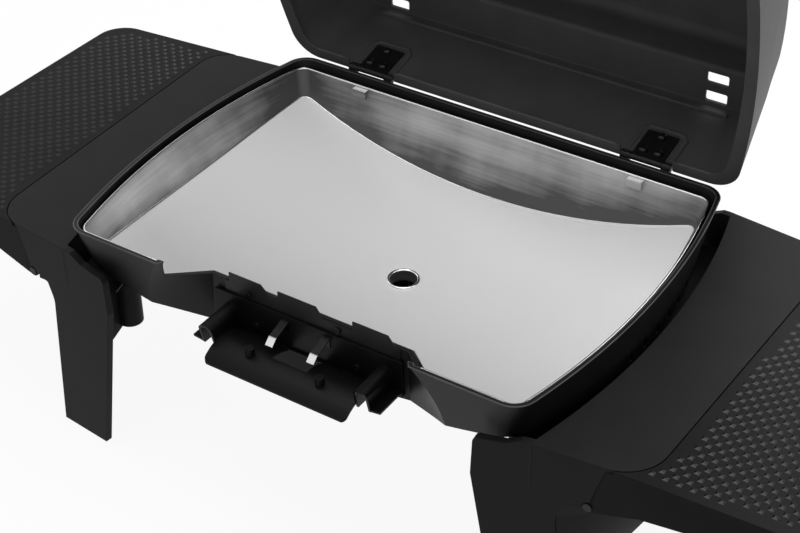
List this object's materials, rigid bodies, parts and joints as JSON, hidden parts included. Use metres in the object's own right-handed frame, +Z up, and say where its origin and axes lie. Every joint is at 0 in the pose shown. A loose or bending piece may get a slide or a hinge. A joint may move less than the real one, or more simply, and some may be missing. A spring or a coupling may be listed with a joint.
{
  "type": "electric barbecue grill",
  "caption": "Countertop barbecue with a hinged domed lid, aluminium-lined cook box, legged end frames, folding side tables and a sliding drip tray.",
  "frame": {"origin": "on the ground, under the middle of the box round the whole grill with its lid open and its tables out", "axes": "+X to the grill's right along both tables, +Y to the rear, +Z up"},
  "size_m": [1.26, 0.6694, 0.8665],
  "materials": {
    "cast_black": "black satin coating on cast aluminium",
    "lid_black": "black satin coating on cast aluminium",
    "liner_bright": "brushed bare sheet",
    "frame_plastic": "fine grained",
    "table_plastic": "studded top",
    "bracket_plastic": "satin",
    "handle_plastic": "satin",
    "sheet_black": "black satin",
    "clip_steel": "bright",
    "fastener_steel": "blackened",
    "tray_aluminium": "bare sheet"
  },
  "bodies": {
    "base": {"cook_box": "cast_black", "liner": "liner_bright", "left_frame": "frame_plastic", "right_frame": "frame_plastic", "control_bracket": "bracket_plastic", "front_shield": "sheet_black", "left_box_hinge": "sheet_black", "right_box_hinge": "sheet_black", "left_tray_rail": "sheet_black", "right_tray_rail": "sheet_black", "left_spring_clip": "clip_steel", "right_spring_clip": "clip_steel", "liner_clip": "clip_steel", "box_hinge_screws": "fastener_steel", "left_hinge_pin": "fastener_steel", "right_hinge_pin": "fastener_steel", "frame_bolts": "fastener_steel", "left_table_pins": "fastener_steel", "right_table_pins": "fastener_steel", "shield_screws": "fastener_steel", "bracket_screws": "fastener_steel", "rail_screws": "fastener_steel"},
    "lid": {"lid_shell": "lid_black", "left_lid_leaf": "sheet_black", "right_lid_leaf": "sheet_black", "lid_leaf_bolts": "fastener_steel", "lid_handle_bar": "handle_plastic", "left_handle_post": "handle_plastic", "right_handle_post": "handle_plastic", "handle_screws": "fastener_steel"},
    "left_table": {"left_table": "table_plastic"},
    "right_table": {"right_table": "table_plastic"},
    "drip_tray": {"drip_tray": "tray_aluminium"}
  },
  "joints": [
    {"name": "lid_hinge", "type": "hinge", "parent": "base", "child": "lid", "pos_m": [0, 0.16927, 0.3265], "axis": [1, 0, 0], "range_deg": [0, 77.2]},
    {"name": "right_table_fold", "type": "hinge", "parent": "base", "child": "right_table", "pos_m": [0.382, 0, 0.2252], "axis": [0, 1, 0], "range_deg": [0, 66]},
    {"name": "left_table_fold", "type": "hinge", "parent": "base", "child": "left_table", "pos_m": [-0.382, 0, 0.2252], "axis": [0, -1, 0], "range_deg": [0, 66]},
    {"name": "tray_slide", "type": "slide", "parent": "base", "child": "drip_tray", "axis": [0, -1, 0], "range_m": [0, 0.12]}
  ]
}
